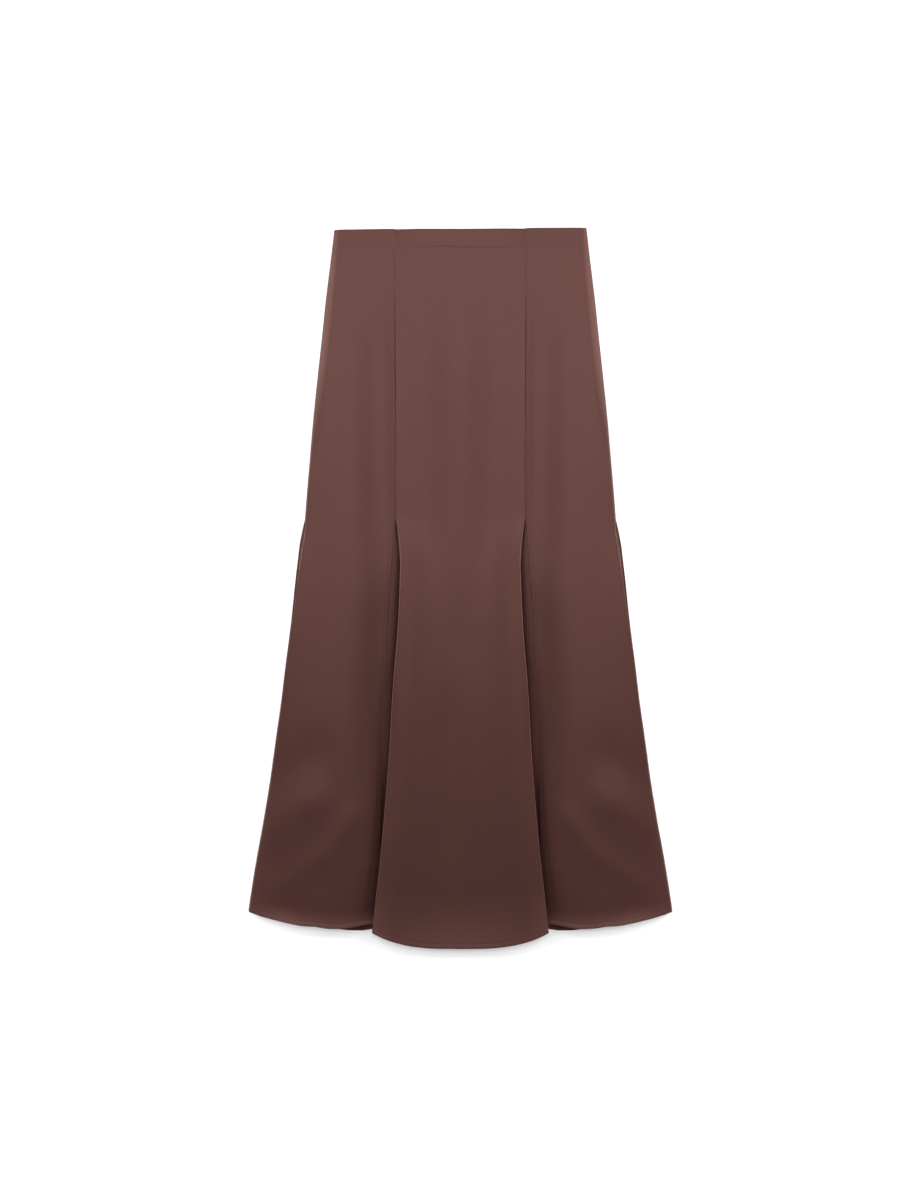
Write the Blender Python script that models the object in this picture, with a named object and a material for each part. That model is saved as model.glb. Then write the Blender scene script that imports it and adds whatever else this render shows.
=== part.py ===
"""Mermaid skirt of brown satin, laid flat on a surface with its front up.

Three gores make the front and three the back. Their six seams open below the thigh into godets,
the wedges of cloth that give the hem its fishtail flare. Laid flat, each godet folds in two inside
the skirt: the front ones under the centre front, the side ones between front and back, and the back
ones over the side backs.

+X is to the right of the front, +Y towards the waist, +Z up. The origin is on the surface, under the
middle of the skirt. "Depth" is the distance below the waist and "lift" the height of a layer's
underside above the surface. Sizes are in millimetres until a mesh is made.
"""

import math
from collections import namedtuple

import bmesh
import bpy
import numpy as np

METRES_PER_MILLIMETRE = 0.001

# Driving dimensions
LENGTH = 900.0  # waist to the lowest point of the front hem
WAIST_HALF = 157.5  # half the width of the waist, laid flat
WAIST_TILT = 2.2  # how much lower the left end of the waist lies than the right end
WAIST_TILT_REACH = 40.0  # depth at which that tilt has died out
CLOTH = 1.0  # thickness of every wall
SEAM_GAP = 0.3  # clear space between neighbouring pieces
LAYER = CLOTH + SEAM_GAP  # rise from one lying layer to the next

FRONT_TIP = 367.0  # depth of the point of a front godet
SIDE_TIP = 361.0  # depth of the point of a side godet
BACK_TIP = 367.0  # depth of the point of a back godet
FRONT_SPREAD = 0.33  # width of an opened front godet for each millimetre below its point
SIDE_SPREAD = 0.28
BACK_SPREAD = 0.27
NARROWEST_LEG = 3.0  # width of a folded godet's leg near its point
GODET_START = 5.0  # depth below its point where a front or side godet's wall starts
BACK_GODET_START = 45.0  # the same for a back godet

BACK_SEAM_HALF = 92.0  # back seam to the middle, from the waist to the godet's point
BACK_SEAM_HEM_HALF = 124.0  # back seam to the middle, at the hem
BACK_SEAM_HEM = 877.0  # depth of the back seam's lower end
BACK_LAP = 2.5  # how far a back godet's upper leg laps onto the centre back
BACK_LEG_START = 3.0  # back seam to the free end of a back godet's lower leg
BACK_LEG_DROP = 3.5  # width over which its upper leg comes down past that end

RAMP_PAST_BACK_SEAM = 5.0  # back seam to the line where a side front has climbed onto the godet
LOWER_LEG_DIP = 15.0  # width over which a front godet's lower leg settles onto the back

CENTRE_HEM_RISE = 20.6  # middle of the front hem to the corners of the centre front
CENTRE_HEM_POWER = 3.0  # how late the hem turns up towards those corners
CENTRE_FRONT_POWER = 2.5  # how late the centre front climbs towards its edges
SIDE_FRONT_POWER = 3.0  # how late a side front comes down to the side seam
HEM_BLEND_START = 690.0  # depth below which the rows of points bend towards the hem's curve

# Outline of one half, a row for each section: side seam, outer edge of the side front (the side godet
# shows past it), edge of the centre front, and inner edge of the side front
Outline = namedtuple("Outline", "depth side_seam front_outer centre_edge side_inner")
OUTLINE = (
    Outline(0, 157.5, 157.5, 82.2, 82.2),
    Outline(40, 162.0, 162.0, 81.9, 81.9),
    Outline(90, 168.1, 168.1, 81.6, 81.6),
    Outline(140, 173.3, 173.3, 81.3, 81.3),
    Outline(190, 178.7, 178.7, 80.9, 80.9),
    Outline(240, 183.9, 183.9, 80.6, 80.6),
    Outline(290, 188.2, 188.2, 80.2, 80.2),
    Outline(340, 192.4, 192.4, 80.3, 80.3),
    Outline(362, 194.0, 194.0, 80.5, 80.5),
    Outline(376, 197.1, 194.9, 78.9, 82.4),
    Outline(398, 201.2, 198.0, 76.0, 84.0),
    Outline(415, 203.2, 200.0, 74.5, 85.2),
    Outline(440, 206.2, 203.0, 74.9, 86.8),
    Outline(467, 208.9, 206.2, 76.2, 88.8),
    Outline(492, 211.6, 209.8, 77.7, 90.4),
    Outline(518, 214.8, 213.5, 79.4, 91.8),
    Outline(545, 218.4, 217.3, 81.9, 93.3),
    Outline(590, 223.8, 222.8, 85.9, 96.3),
    Outline(640, 230.9, 229.9, 88.7, 97.4),
    Outline(690, 237.8, 236.8, 92.0, 98.3),
    Outline(740, 246.0, 245.0, 96.4, 99.5),
    Outline(790, 255.1, 254.1, 101.2, 100.2),
    Outline(839, 262.9, 261.9, 106.1, 100.2),
    Outline(880, 268.5, 267.5, 110.1, 100.2),
)

# Lift of the front's underside: middle and edge of the centre front, then inner edge, crest and
# outer edge of the side front
Lift = namedtuple("Lift", "depth middle centre_edge side_inner side_crest side_outer")
LIFTS = (
    Lift(0, 2.2, 2.2, 2.2, 2.0, 1.3),
    Lift(180, 3.0, 2.8, 2.8, 2.6, 1.3),
    Lift(320, 3.2, 2.8, 2.8, 2.9, 1.3),
    Lift(362, 3.4, 3.0, 2.6, 3.5, 1.5),
    Lift(376, 3.8, 4.2, 1.3, 4.2, 3.9),
    Lift(398, 4.0, 5.0, 1.8, 4.3, 3.9),
    Lift(450, 4.1, 5.4, 2.2, 4.4, 3.9),
    Lift(600, 4.1, 5.6, 2.2, 4.4, 3.9),
    Lift(750, 4.1, 5.7, 2.0, 4.4, 3.9),
    Lift(900, 4.0, 5.2, 1.6, 4.2, 3.9),
)

# Depth of the hem at a distance from the middle
Hem = namedtuple("Hem", "half depth")
SIDE_FRONT_HEM = (
    Hem(100.2, 869.0),
    Hem(120.6, 870.8),
    Hem(132.0, 872.7),
    Hem(151.0, 875.0),
    Hem(165.0, 874.5),
    Hem(181.5, 872.0),
    Hem(197.0, 871.0),
    Hem(213.0, 868.0),
    Hem(232.0, 863.5),
    Hem(250.0, 858.8),
    Hem(264.8, 853.8),
)
BACK_HEM = (
    Hem(0.0, 895.0),
    Hem(60.0, 891.5),
    Hem(95.0, 881.5),
    Hem(110.0, 874.8),
    Hem(124.0, 877.0),
    Hem(136.0, 877.4),
    Hem(152.6, 876.3),
    Hem(165.0, 874.0),
    Hem(181.5, 871.5),
    Hem(197.0, 870.3),
    Hem(213.0, 867.3),
    Hem(232.0, 862.8),
    Hem(250.0, 858.1),
    Hem(264.8, 853.0),
)
HEM_CORNER_DEPTH = 853.8  # depth of the side seam's lower end

# How finely the walls are divided
CENTRE_FRONT_COLUMNS = 14
RAMP_COLUMNS = 4
SIDE_FRONT_COLUMNS = 7
CENTRE_BACK_COLUMNS = 8
SIDE_BACK_COLUMNS = 7
LEG_COLUMNS = 4
BEND_STEPS = 4

# A godet's hem is an arc about its point, this long where it is sewn to each neighbour
FRONT_GODET_RADIUS = {"lower": 502.0, "upper": 512.0}
SIDE_GODET_RADIUS = {"lower": 496.5, "upper": 496.5}
BACK_GODET_RADIUS = {"lower": 508.0, "upper": 508.0}

SATIN_COLOUR = (0.118, 0.062, 0.053)
SATIN_ROUGHNESS = 0.45
SHARP_DEGREES = 40.0  # an edge that turns more than this, such as a wall's rim, is shaded sharp


def read_table(table, key, value, at):
    """The `value` column of a table where its `key` column reads `at`, in between its rows too."""
    keys = [getattr(row, key) for row in table]
    values = [getattr(row, value) for row in table]
    return float(np.interp(at, keys, values))


def outline(depth, column):
    return read_table(OUTLINE, "depth", column, depth)


def lift(depth, column):
    return read_table(LIFTS, "depth", column, depth)


def smooth_step(share):
    """0 to 1 with a level start and end."""
    share = min(max(share, 0.0), 1.0)
    return share * share * (3.0 - 2.0 * share)


def evenly(start, end, count):
    """`count` + 1 values from start to end."""
    return [start + (end - start) * step / count for step in range(count + 1)]


def back_seam(depth):
    """Distance of the back seam from the middle."""
    share = (depth - BACK_TIP) / (BACK_SEAM_HEM - BACK_TIP)
    return BACK_SEAM_HALF + (BACK_SEAM_HEM_HALF - BACK_SEAM_HALF) * max(share, 0.0)


def seam_clearance(depth):
    """Half the gap of a closed seam, above the godet's point."""
    return SEAM_GAP / 2 if depth < FRONT_TIP else 0.0


def centre_front_edge(depth):
    return outline(depth, "centre_edge") - seam_clearance(depth)


def side_front_edge(depth):
    return outline(depth, "side_inner") + seam_clearance(depth)


def centre_front_lift(x, depth):
    """Underside of the centre front: its edges stand higher than its middle."""
    share = min(abs(x) / centre_front_edge(depth), 1.0)
    middle = lift(depth, "middle")
    return middle + (lift(depth, "centre_edge") - middle) * share**CENTRE_FRONT_POWER


def side_front_lift(x, depth):
    """Underside of a side front: up a ramp from its inner edge, then level, then down to the side."""
    inner = side_front_edge(depth)
    crest = back_seam(depth) + RAMP_PAST_BACK_SEAM
    outer = outline(depth, "front_outer")
    crest_lift = lift(depth, "side_crest")
    if x < crest:
        climbed = smooth_step((x - inner) / (crest - inner))
        return lift(depth, "side_inner") * (1.0 - climbed) + crest_lift * climbed
    share = min((x - crest) / (outer - crest), 1.0)
    return crest_lift + (lift(depth, "side_outer") - crest_lift) * share**SIDE_FRONT_POWER


def place(x, depth, height):
    """World position, in metres, of a point of the skirt."""
    fade = max(0.0, 1.0 - depth / WAIST_TILT_REACH)
    tilt = WAIST_TILT * (1.0 - x / WAIST_HALF) / 2
    y = LENGTH / 2 - depth - tilt * fade
    return [value * METRES_PER_MILLIMETRE for value in (x, y, height)]


def satin(name):
    material = bpy.data.materials.new(name)
    material.use_nodes = True
    shader = material.node_tree.nodes["Principled BSDF"]
    shader.inputs["Base Color"].default_value = (*SATIN_COLOUR, 1.0)
    shader.inputs["Roughness"].default_value = SATIN_ROUGHNESS
    shader.inputs["Metallic"].default_value = 0.0
    return material


def wall(name, outer_rows, inner_rows):
    """A closed wall between two grids of points, each given row by row."""
    shape = bmesh.new()
    outer = [[shape.verts.new(place(*point)) for point in row] for row in outer_rows]
    inner = [[shape.verts.new(place(*point)) for point in row] for row in inner_rows]
    last_row = len(outer) - 1
    last_column = len(outer[0]) - 1

    def face(*corners):
        shape.faces.new([skin[row][column] for skin, row, column in corners])

    for row in range(last_row):
        for column in range(last_column):
            for skin in (outer, inner):
                face(
                    (skin, row, column),
                    (skin, row, column + 1),
                    (skin, row + 1, column + 1),
                    (skin, row + 1, column),
                )
        for column in (0, last_column):
            face(
                (outer, row, column),
                (inner, row, column),
                (inner, row + 1, column),
                (outer, row + 1, column),
            )
    for row in (0, last_row):
        for column in range(last_column):
            face(
                (outer, row, column),
                (outer, row, column + 1),
                (inner, row, column + 1),
                (inner, row, column),
            )
    bmesh.ops.recalc_face_normals(shape, faces=shape.faces)

    mesh = bpy.data.meshes.new(name)
    shape.to_mesh(mesh)
    shape.free()
    mesh.shade_smooth()
    mesh.set_sharp_from_angle(angle=math.radians(SHARP_DEGREES))
    mesh.materials.append(satin(f"satin_{name}"))
    piece = bpy.data.objects.new(name, mesh)
    bpy.context.scene.collection.objects.link(piece)
    return piece


def sewn_piece(name, section, hem_depths, top=0.0, mirror=1.0):
    """Wall through one section for each row of the outline from `top` down.

    `section(depth)` gives a pair of points (x, height), outer and inner, for each column, and
    `hem_depths` the depth at which each column ends.
    """
    last_depth = OUTLINE[-1].depth
    outer_rows = []
    inner_rows = []
    for nominal in (row.depth for row in OUTLINE if row.depth >= top):
        outer_row = []
        inner_row = []
        for column, hem in enumerate(hem_depths):
            below = max(nominal - HEM_BLEND_START, 0.0)
            stretch = (hem - HEM_BLEND_START) / (last_depth - HEM_BLEND_START)
            depth = min(nominal, HEM_BLEND_START) + below * stretch
            (outer_x, outer_height), (inner_x, inner_height) = section(depth)[column]
            outer_row.append((mirror * outer_x, depth, outer_height))
            inner_row.append((mirror * inner_x, depth, inner_height))
        outer_rows.append(outer_row)
        inner_rows.append(inner_row)
    return wall(name, outer_rows, inner_rows)


def flat_section(places, underside):
    """Section of a single layer: its underside and, a cloth's thickness above, its upper side."""
    return [((x, underside(x)), (x, underside(x) + CLOTH)) for x in places]


def folded_section(lower_leg, upper_leg, fold, lower_lift, upper_lift):
    """Section of a godet folded in two, from the free end of its lower leg to that of its upper leg.

    The legs are given as functions from the x of the bend to their places, free end first.
    """
    low = lower_lift(fold)
    high = upper_lift(fold)
    outside = (high + CLOTH - low) / 2
    inside = outside - CLOTH
    middle = low + outside
    outward = math.copysign(1.0, fold - lower_leg(fold)[0])
    bend = fold - outward * outside

    section = [((x, lower_lift(x)), (x, lower_lift(x) + CLOTH)) for x in lower_leg(bend)[:-1]]
    for step in range(BEND_STEPS + 1):
        angle = math.pi * (step / BEND_STEPS - 0.5)
        reach = outward * math.cos(angle)
        rise = math.sin(angle)
        section.append(
            (
                (bend + reach * outside, middle + rise * outside),
                (bend + reach * inside, middle + rise * inside),
            )
        )
    section += [((x, upper_lift(x) + CLOTH), (x, upper_lift(x))) for x in upper_leg(bend)[-2::-1]]
    return section


def godet_hems(section, radii, tip_x, tip_depth):
    """Depth of the hem at each column of a folded godet: an arc about its point."""
    ends = section(OUTLINE[-1].depth)
    hems = []
    for column, (outer, _inner) in enumerate(ends):
        share = column / (len(ends) - 1)
        radius = radii["lower"] + (radii["upper"] - radii["lower"]) * share
        hems.append(tip_depth + math.sqrt(radius**2 - (outer[0] - tip_x) ** 2))
    return hems


def make_centre_front():
    shares = evenly(-1.0, 1.0, CENTRE_FRONT_COLUMNS)

    def section(depth):
        places = [share * centre_front_edge(depth) for share in shares]
        return flat_section(places, lambda x: centre_front_lift(x, depth))

    hems = [LENGTH - CENTRE_HEM_RISE * abs(share) ** CENTRE_HEM_POWER for share in shares]
    sewn_piece("front_centre_panel", section, hems)


def make_side_front(side, mirror):
    def places(depth):
        crest = back_seam(depth) + RAMP_PAST_BACK_SEAM
        ramp = evenly(side_front_edge(depth), crest, RAMP_COLUMNS)
        return ramp + evenly(crest, outline(depth, "front_outer"), SIDE_FRONT_COLUMNS)[1:]

    def section(depth):
        return flat_section(places(depth), lambda x: side_front_lift(x, depth))

    hems = [read_table(SIDE_FRONT_HEM, "half", "depth", x) for x in places(HEM_CORNER_DEPTH)]
    sewn_piece(f"front_side_panel_{side}", section, hems, mirror=mirror)


def make_centre_back():
    shares = evenly(-1.0, 1.0, CENTRE_BACK_COLUMNS)

    def section(depth):
        edge = back_seam(depth) - SEAM_GAP / 2
        return flat_section([share * edge for share in shares], lambda x: 0.0)

    hems = [read_table(BACK_HEM, "half", "depth", abs(share) * BACK_SEAM_HEM_HALF) for share in shares]
    sewn_piece("back_centre_panel", section, hems)


def make_side_back(side, mirror):
    def places(depth):
        inner = back_seam(depth) + SEAM_GAP / 2
        return evenly(inner, outline(depth, "side_seam"), SIDE_BACK_COLUMNS)

    def section(depth):
        return flat_section(places(depth), lambda x: 0.0)

    hems = [read_table(BACK_HEM, "half", "depth", x) for x in places(HEM_CORNER_DEPTH)]
    sewn_piece(f"back_side_panel_{side}", section, hems, mirror=mirror)


def make_front_godet(side, mirror):
    """Lower leg from the side front in under the centre front, upper leg back to its edge."""

    def section(depth):
        inner = outline(depth, "side_inner") - SEAM_GAP
        edge = outline(depth, "centre_edge")
        opened = FRONT_SPREAD * (depth - FRONT_TIP)
        leg = max((opened - (inner - edge)) / 2, NARROWEST_LEG)

        def lower_lift(x):
            settled = smooth_step((inner - x) / LOWER_LEG_DIP)
            return LAYER + (lift(depth, "side_inner") - LAYER) * (1.0 - settled)

        return folded_section(
            lambda bend: evenly(inner, bend, LEG_COLUMNS),
            lambda bend: evenly(edge, bend, LEG_COLUMNS),
            edge - leg,
            lower_lift,
            lambda x: centre_front_lift(x, depth) - LAYER,
        )

    hems = godet_hems(section, FRONT_GODET_RADIUS, outline(FRONT_TIP, "centre_edge"), FRONT_TIP)
    sewn_piece(f"godet_front_{side}", section, hems, top=FRONT_TIP + GODET_START, mirror=mirror)


def make_side_godet(side, mirror):
    """Lower leg from the side back inwards, upper leg back out to the side front."""

    def section(depth):
        lower_end = outline(depth, "side_seam")
        upper_end = outline(depth, "front_outer")
        opened = SIDE_SPREAD * (depth - SIDE_TIP)
        leg = max((opened - (lower_end - upper_end)) / 2, NARROWEST_LEG)
        return folded_section(
            lambda bend: evenly(lower_end, bend, LEG_COLUMNS),
            lambda bend: evenly(upper_end, bend, LEG_COLUMNS),
            upper_end - leg,
            lambda x: LAYER,
            lambda x: side_front_lift(x, depth) - LAYER,
        )

    hems = godet_hems(section, SIDE_GODET_RADIUS, outline(SIDE_TIP, "side_seam"), SIDE_TIP)
    sewn_piece(f"godet_side_{side}", section, hems, top=SIDE_TIP + GODET_START, mirror=mirror)


def make_back_godet(side, mirror):
    """Lower leg outwards over the side back, upper leg back in and down onto the centre back."""

    def section(depth):
        seam = back_seam(depth)
        lower_end = seam + BACK_LEG_START
        landing = lower_end - BACK_LEG_DROP
        opened = BACK_SPREAD * (depth - BACK_TIP)

        def upper_leg(bend):
            return [seam - BACK_LAP, landing] + evenly(lower_end, bend, LEG_COLUMNS)

        def upper_lift(x):
            dropped = min(max((lower_end - x) / BACK_LEG_DROP, 0.0), 1.0)
            return LAYER * (2.0 - dropped)

        return folded_section(
            lambda bend: evenly(lower_end, bend, LEG_COLUMNS),
            upper_leg,
            seam + opened / 2,
            lambda x: LAYER,
            upper_lift,
        )

    hems = godet_hems(section, BACK_GODET_RADIUS, back_seam(BACK_TIP), BACK_TIP)
    sewn_piece(f"godet_back_{side}", section, hems, top=BACK_TIP + BACK_GODET_START, mirror=mirror)


def main():
    for item in list(bpy.data.objects):
        bpy.data.objects.remove(item)
    make_centre_back()
    make_centre_front()
    for side, mirror in (("left", -1.0), ("right", 1.0)):
        make_side_back(side, mirror)
        make_back_godet(side, mirror)
        make_side_godet(side, mirror)
        make_front_godet(side, mirror)
        make_side_front(side, mirror)


main()
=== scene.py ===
import math
from collections import namedtuple

import bpy
import numpy as np
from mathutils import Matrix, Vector


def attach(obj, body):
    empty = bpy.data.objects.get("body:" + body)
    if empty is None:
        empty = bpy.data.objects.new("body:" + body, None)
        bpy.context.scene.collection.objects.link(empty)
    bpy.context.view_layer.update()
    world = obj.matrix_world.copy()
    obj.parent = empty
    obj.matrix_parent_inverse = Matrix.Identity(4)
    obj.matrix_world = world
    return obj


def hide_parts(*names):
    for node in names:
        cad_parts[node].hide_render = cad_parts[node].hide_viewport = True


# Looks of a mermaid skirt of brown satin, laid flat with its front up and seen from straight above.
# +X is to the right of the front, +Y towards the waist, +Z up, and z = 0 is the surface it lies on.
# "Depth" is the distance below the waist. Cloth is worked out in millimetres and made in metres.

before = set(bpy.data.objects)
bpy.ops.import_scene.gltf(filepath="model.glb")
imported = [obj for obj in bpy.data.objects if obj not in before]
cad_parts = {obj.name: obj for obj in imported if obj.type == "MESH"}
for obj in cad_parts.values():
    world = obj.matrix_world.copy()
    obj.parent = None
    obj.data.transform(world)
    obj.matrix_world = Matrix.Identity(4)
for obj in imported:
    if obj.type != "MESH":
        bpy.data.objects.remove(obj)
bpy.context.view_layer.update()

METRES = 0.001  # metres in a millimetre

# ---------------------------------------------------------------- the construction, as it was cut

LENGTH = 900.0  # waist to the lowest point of the front hem
CLOTH = 0.4  # thickness of the satin
FRONT_TIP = 367.0  # depth of the point of a front godet
SIDE_TIP = 361.0
BACK_TIP = 367.0
FRONT_SPREAD = 0.33  # width of an opened front godet for each millimetre below its point
SIDE_SPREAD = 0.28
BACK_SPREAD = 0.27
BACK_SEAM_HALF = 92.0  # back seam to the middle, down to the godet's point
BACK_SEAM_HEM_HALF = 124.0  # and at the hem
BACK_SEAM_HEM = 877.0  # depth of the hem there
CENTRE_HEM_RISE = 20.6  # how much less deep the centre front's hem is at its corners than in the middle
CENTRE_HEM_HALF = 110.1  # distance of those corners from the middle
HEM_BLEND_START = 690.0  # depth below which the rows of points bend towards the hem's curve

# Distances from the middle of the skirt at each depth: to the side seam of the back, to the outer edge
# of the front, to the edge of the centre front and to the inner edge of a side front
Outline = namedtuple("Outline", "depth side_seam front_outer centre_edge side_inner")
OUTLINE = (
    Outline(0, 157.5, 157.5, 82.2, 82.2),
    Outline(40, 162.0, 162.0, 81.9, 81.9),
    Outline(90, 168.1, 168.1, 81.6, 81.6),
    Outline(140, 173.3, 173.3, 81.3, 81.3),
    Outline(190, 178.7, 178.7, 80.9, 80.9),
    Outline(240, 183.9, 183.9, 80.6, 80.6),
    Outline(290, 188.2, 188.2, 80.2, 80.2),
    Outline(340, 192.4, 192.4, 80.3, 80.3),
    Outline(362, 194.0, 194.0, 80.5, 80.5),
    Outline(376, 197.1, 194.9, 78.9, 82.4),
    Outline(398, 201.2, 198.0, 76.0, 84.0),
    Outline(415, 203.2, 200.0, 75.0, 85.2),
    Outline(440, 206.2, 203.0, 75.6, 86.8),
    Outline(467, 208.9, 206.2, 76.5, 88.8),
    Outline(492, 211.6, 209.8, 77.7, 90.4),
    Outline(518, 214.8, 213.5, 79.4, 91.8),
    Outline(545, 218.4, 217.3, 81.9, 93.3),
    Outline(590, 223.8, 222.8, 85.2, 96.3),
    Outline(640, 230.9, 229.9, 87.9, 97.4),
    Outline(690, 237.8, 236.8, 91.2, 98.3),
    Outline(740, 246.0, 245.0, 95.5, 99.5),
    Outline(790, 255.1, 254.1, 100.2, 100.2),
    Outline(839, 262.9, 261.9, 105.5, 100.2),
    Outline(880, 268.5, 267.5, 110.1, 100.2),
)

# Heights of the front's cloth above the surface, before creases, curls and turned edges: in the middle,
# at the edge of the centre front, and at the inner edge, the crest and the outer edge of a side front
Lift = namedtuple("Lift", "depth middle centre_edge side_inner side_crest side_outer")
LIFTS = (
    Lift(0, 4.6, 2.9, 3.4, 3.2, 5.0),
    Lift(40, 4.3, 5.6, 4.4, 4.2, 6.4),
    Lift(90, 3.7, 7.4, 5.0, 5.1, 7.2),
    Lift(180, 2.8, 8.6, 5.8, 6.4, 7.8),
    Lift(290, 2.3, 9.2, 6.2, 7.8, 8.0),
    Lift(345, 2.5, 9.5, 6.3, 8.7, 8.0),
    Lift(362, 2.7, 9.7, 6.2, 9.0, 8.2),
    Lift(380, 3.2, 10.9, 6.0, 9.3, 8.8),
    Lift(405, 4.1, 12.9, 5.8, 9.8, 9.7),
    Lift(450, 5.9, 14.1, 5.8, 10.8, 11.0),
    Lift(500, 7.3, 14.5, 6.0, 11.5, 11.6),
    Lift(550, 8.1, 14.5, 6.1, 12.1, 11.4),
    Lift(600, 8.4, 14.4, 5.9, 12.6, 10.8),
    Lift(700, 8.1, 14.1, 4.7, 12.8, 9.0),
    Lift(790, 7.0, 14.2, 3.3, 12.3, 6.9),
    Lift(850, 6.4, 14.8, 2.7, 11.5, 5.6),
    Lift(900, 7.3, 15.5, 2.5, 10.0, 4.3),
)

# Depth of a hem at a distance from the middle
Hem = namedtuple("Hem", "half depth")
SIDE_FRONT_HEM = (
    Hem(90.0, 868.4),
    Hem(100.2, 869.0),
    Hem(120.6, 870.8),
    Hem(132.0, 872.7),
    Hem(151.0, 875.0),
    Hem(165.0, 874.5),
    Hem(181.5, 872.0),
    Hem(197.0, 871.0),
    Hem(213.0, 868.0),
    Hem(232.0, 863.5),
    Hem(250.0, 858.8),
    Hem(264.8, 853.8),
)
BACK_HEM = (
    Hem(0.0, 895.0),
    Hem(60.0, 891.5),
    Hem(95.0, 881.5),
    Hem(110.0, 876.3),
    Hem(124.0, 878.0),
    Hem(136.0, 878.0),
    Hem(152.6, 876.3),
    Hem(165.0, 874.0),
    Hem(181.5, 871.5),
    Hem(197.0, 870.3),
    Hem(213.0, 867.3),
    Hem(232.0, 862.8),
    Hem(250.0, 858.1),
    Hem(264.8, 853.0),
)
HEM_CORNER_DEPTH = 853.8  # of the hems' outer corners, at the side seams

# The waist's edge, as it happens to lie: depth at a distance right of the middle
Waist = namedtuple("Waist", "x depth")
WAIST_LINE = (
    Waist(-157.5, 2.5),
    Waist(-113.0, 1.9),
    Waist(-84.0, 1.6),
    Waist(-80.0, 2.1),
    Waist(-50.0, 1.6),
    Waist(0.0, 1.65),
    Waist(50.0, 1.2),
    Waist(79.0, 1.1),
    Waist(84.0, 0.45),
    Waist(112.0, 0.15),
    Waist(157.5, 0.0),
)
WAIST_REACH = 40.0  # depth at which the waist's unevenness has died out


def smooth_curve(keys, values):
    """A function through the given points, smooth and with no overshoot (monotone cubic)."""
    keys = np.asarray(keys, float)
    values = np.asarray(values, float)
    gaps = np.diff(keys)
    slopes = np.diff(values) / gaps
    tangents = np.concatenate([slopes[:1], np.zeros(len(slopes) - 1), slopes[-1:]])
    for index in range(1, len(slopes)):
        before, after = slopes[index - 1], slopes[index]
        if before * after > 0:
            weight_before = 2 * gaps[index] + gaps[index - 1]
            weight_after = gaps[index] + 2 * gaps[index - 1]
            total = weight_before + weight_after
            tangents[index] = total / (weight_before / before + weight_after / after)

    def curve(at):
        at = np.asarray(at, float)
        index = np.clip(np.searchsorted(keys, at, side="right") - 1, 0, len(gaps) - 1)
        share = np.clip((at - keys[index]) / gaps[index], 0.0, 1.0)
        start = 2 * share**3 - 3 * share**2 + 1
        lead = share**3 - 2 * share**2 + share
        trail = share**3 - share**2
        return (
            start * values[index]
            + (1 - start) * values[index + 1]
            + gaps[index] * (lead * tangents[index] + trail * tangents[index + 1])
        )

    return curve


def table_curve(table, key, column):
    return smooth_curve([getattr(row, key) for row in table], [getattr(row, column) for row in table])


side_seam = table_curve(OUTLINE, "depth", "side_seam")
front_outer = table_curve(OUTLINE, "depth", "front_outer")
centre_edge = table_curve(OUTLINE, "depth", "centre_edge")
side_inner = table_curve(OUTLINE, "depth", "side_inner")
middle_lift = table_curve(LIFTS, "depth", "middle")
centre_edge_lift = table_curve(LIFTS, "depth", "centre_edge")
side_inner_lift = table_curve(LIFTS, "depth", "side_inner")
side_crest_lift = table_curve(LIFTS, "depth", "side_crest")
side_outer_lift = table_curve(LIFTS, "depth", "side_outer")
side_front_hem = table_curve(SIDE_FRONT_HEM, "half", "depth")
back_hem = table_curve(BACK_HEM, "half", "depth")
waist_line = table_curve(WAIST_LINE, "x", "depth")


def smooth_step(share):
    share = np.clip(share, 0.0, 1.0)
    return share * share * (3.0 - 2.0 * share)


def eased(at, start, end):
    """Smoothly from 0 at `start` to 1 at `end`."""
    return smooth_step((at - start) / (end - start))


def blend(first, second, share):
    return first * (1.0 - share) + second * share


def back_seam(depth):
    """Distance of a back seam from the middle: straight down, then slanting out to the hem."""
    share = np.maximum((depth - BACK_TIP) / (BACK_SEAM_HEM - BACK_TIP), 0.0)
    return blend(BACK_SEAM_HALF, BACK_SEAM_HEM_HALF, share)


def centre_front_hem(x):
    """Depth of the centre front's hem, which curves up to its corners."""
    return LENGTH - CENTRE_HEM_RISE * (np.abs(x) / CENTRE_HEM_HALF) ** 3


# ---------------------------------------------------------------- soft creases

# A crease runs from (x0, depth0) to (x1, depth1); a positive height is a ridge, a negative one a trough
Crease = namedtuple("Crease", "x0 depth0 x1 depth1 width height")
FRONT_CREASES = (
    # troughs down the side panels from hip to thigh, beside the seams
    Crease(-101, 20, -99, 480, 25, -2.9),
    Crease(101, 20, 99, 480, 25, -2.9),
    # hollows beside the opened seams
    Crease(-98, 370, -107, 770, 22, -2.4),
    Crease(98, 370, 107, 770, 22, -2.4),
    # down the centre panel: a low ridge, and a trough towards the hem
    Crease(-2, 0, -4, 540, 40, 4.0),
    Crease(-14, 520, -12, 830, 16, -1.2),
    # slanting folds across the side panels: a trough, a ridge, and a steeper ridge with a low tail
    Crease(-280, 718, -146, 634, 22, -0.9),
    Crease(280, 718, 146, 634, 22, -0.9),
    Crease(-280, 776, -146, 690, 25, 1.7),
    Crease(280, 776, 146, 690, 25, 1.7),
    Crease(-190, 812, -112, 704, 17, 1.1),
    Crease(190, 812, 112, 704, 17, 1.1),
    Crease(-256, 842, -160, 776, 16, 0.7),
    Crease(256, 842, 160, 776, 16, 0.7),
)
# The back rests on the surface, but for low ridges where no godet's leg lies on it
BACK_CREASES = (
    Crease(4, 40, -3, 640, 26, 0.9),
    Crease(-52, 60, -60, 350, 18, 0.6),
    Crease(50, 90, 57, 365, 20, 0.7),
    Crease(-124, 50, -128, 330, 14, 0.5),
    Crease(122, 80, 130, 350, 14, 0.6),
)
END_FADE = 0.35  # share of a crease over which each end dies out

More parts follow.
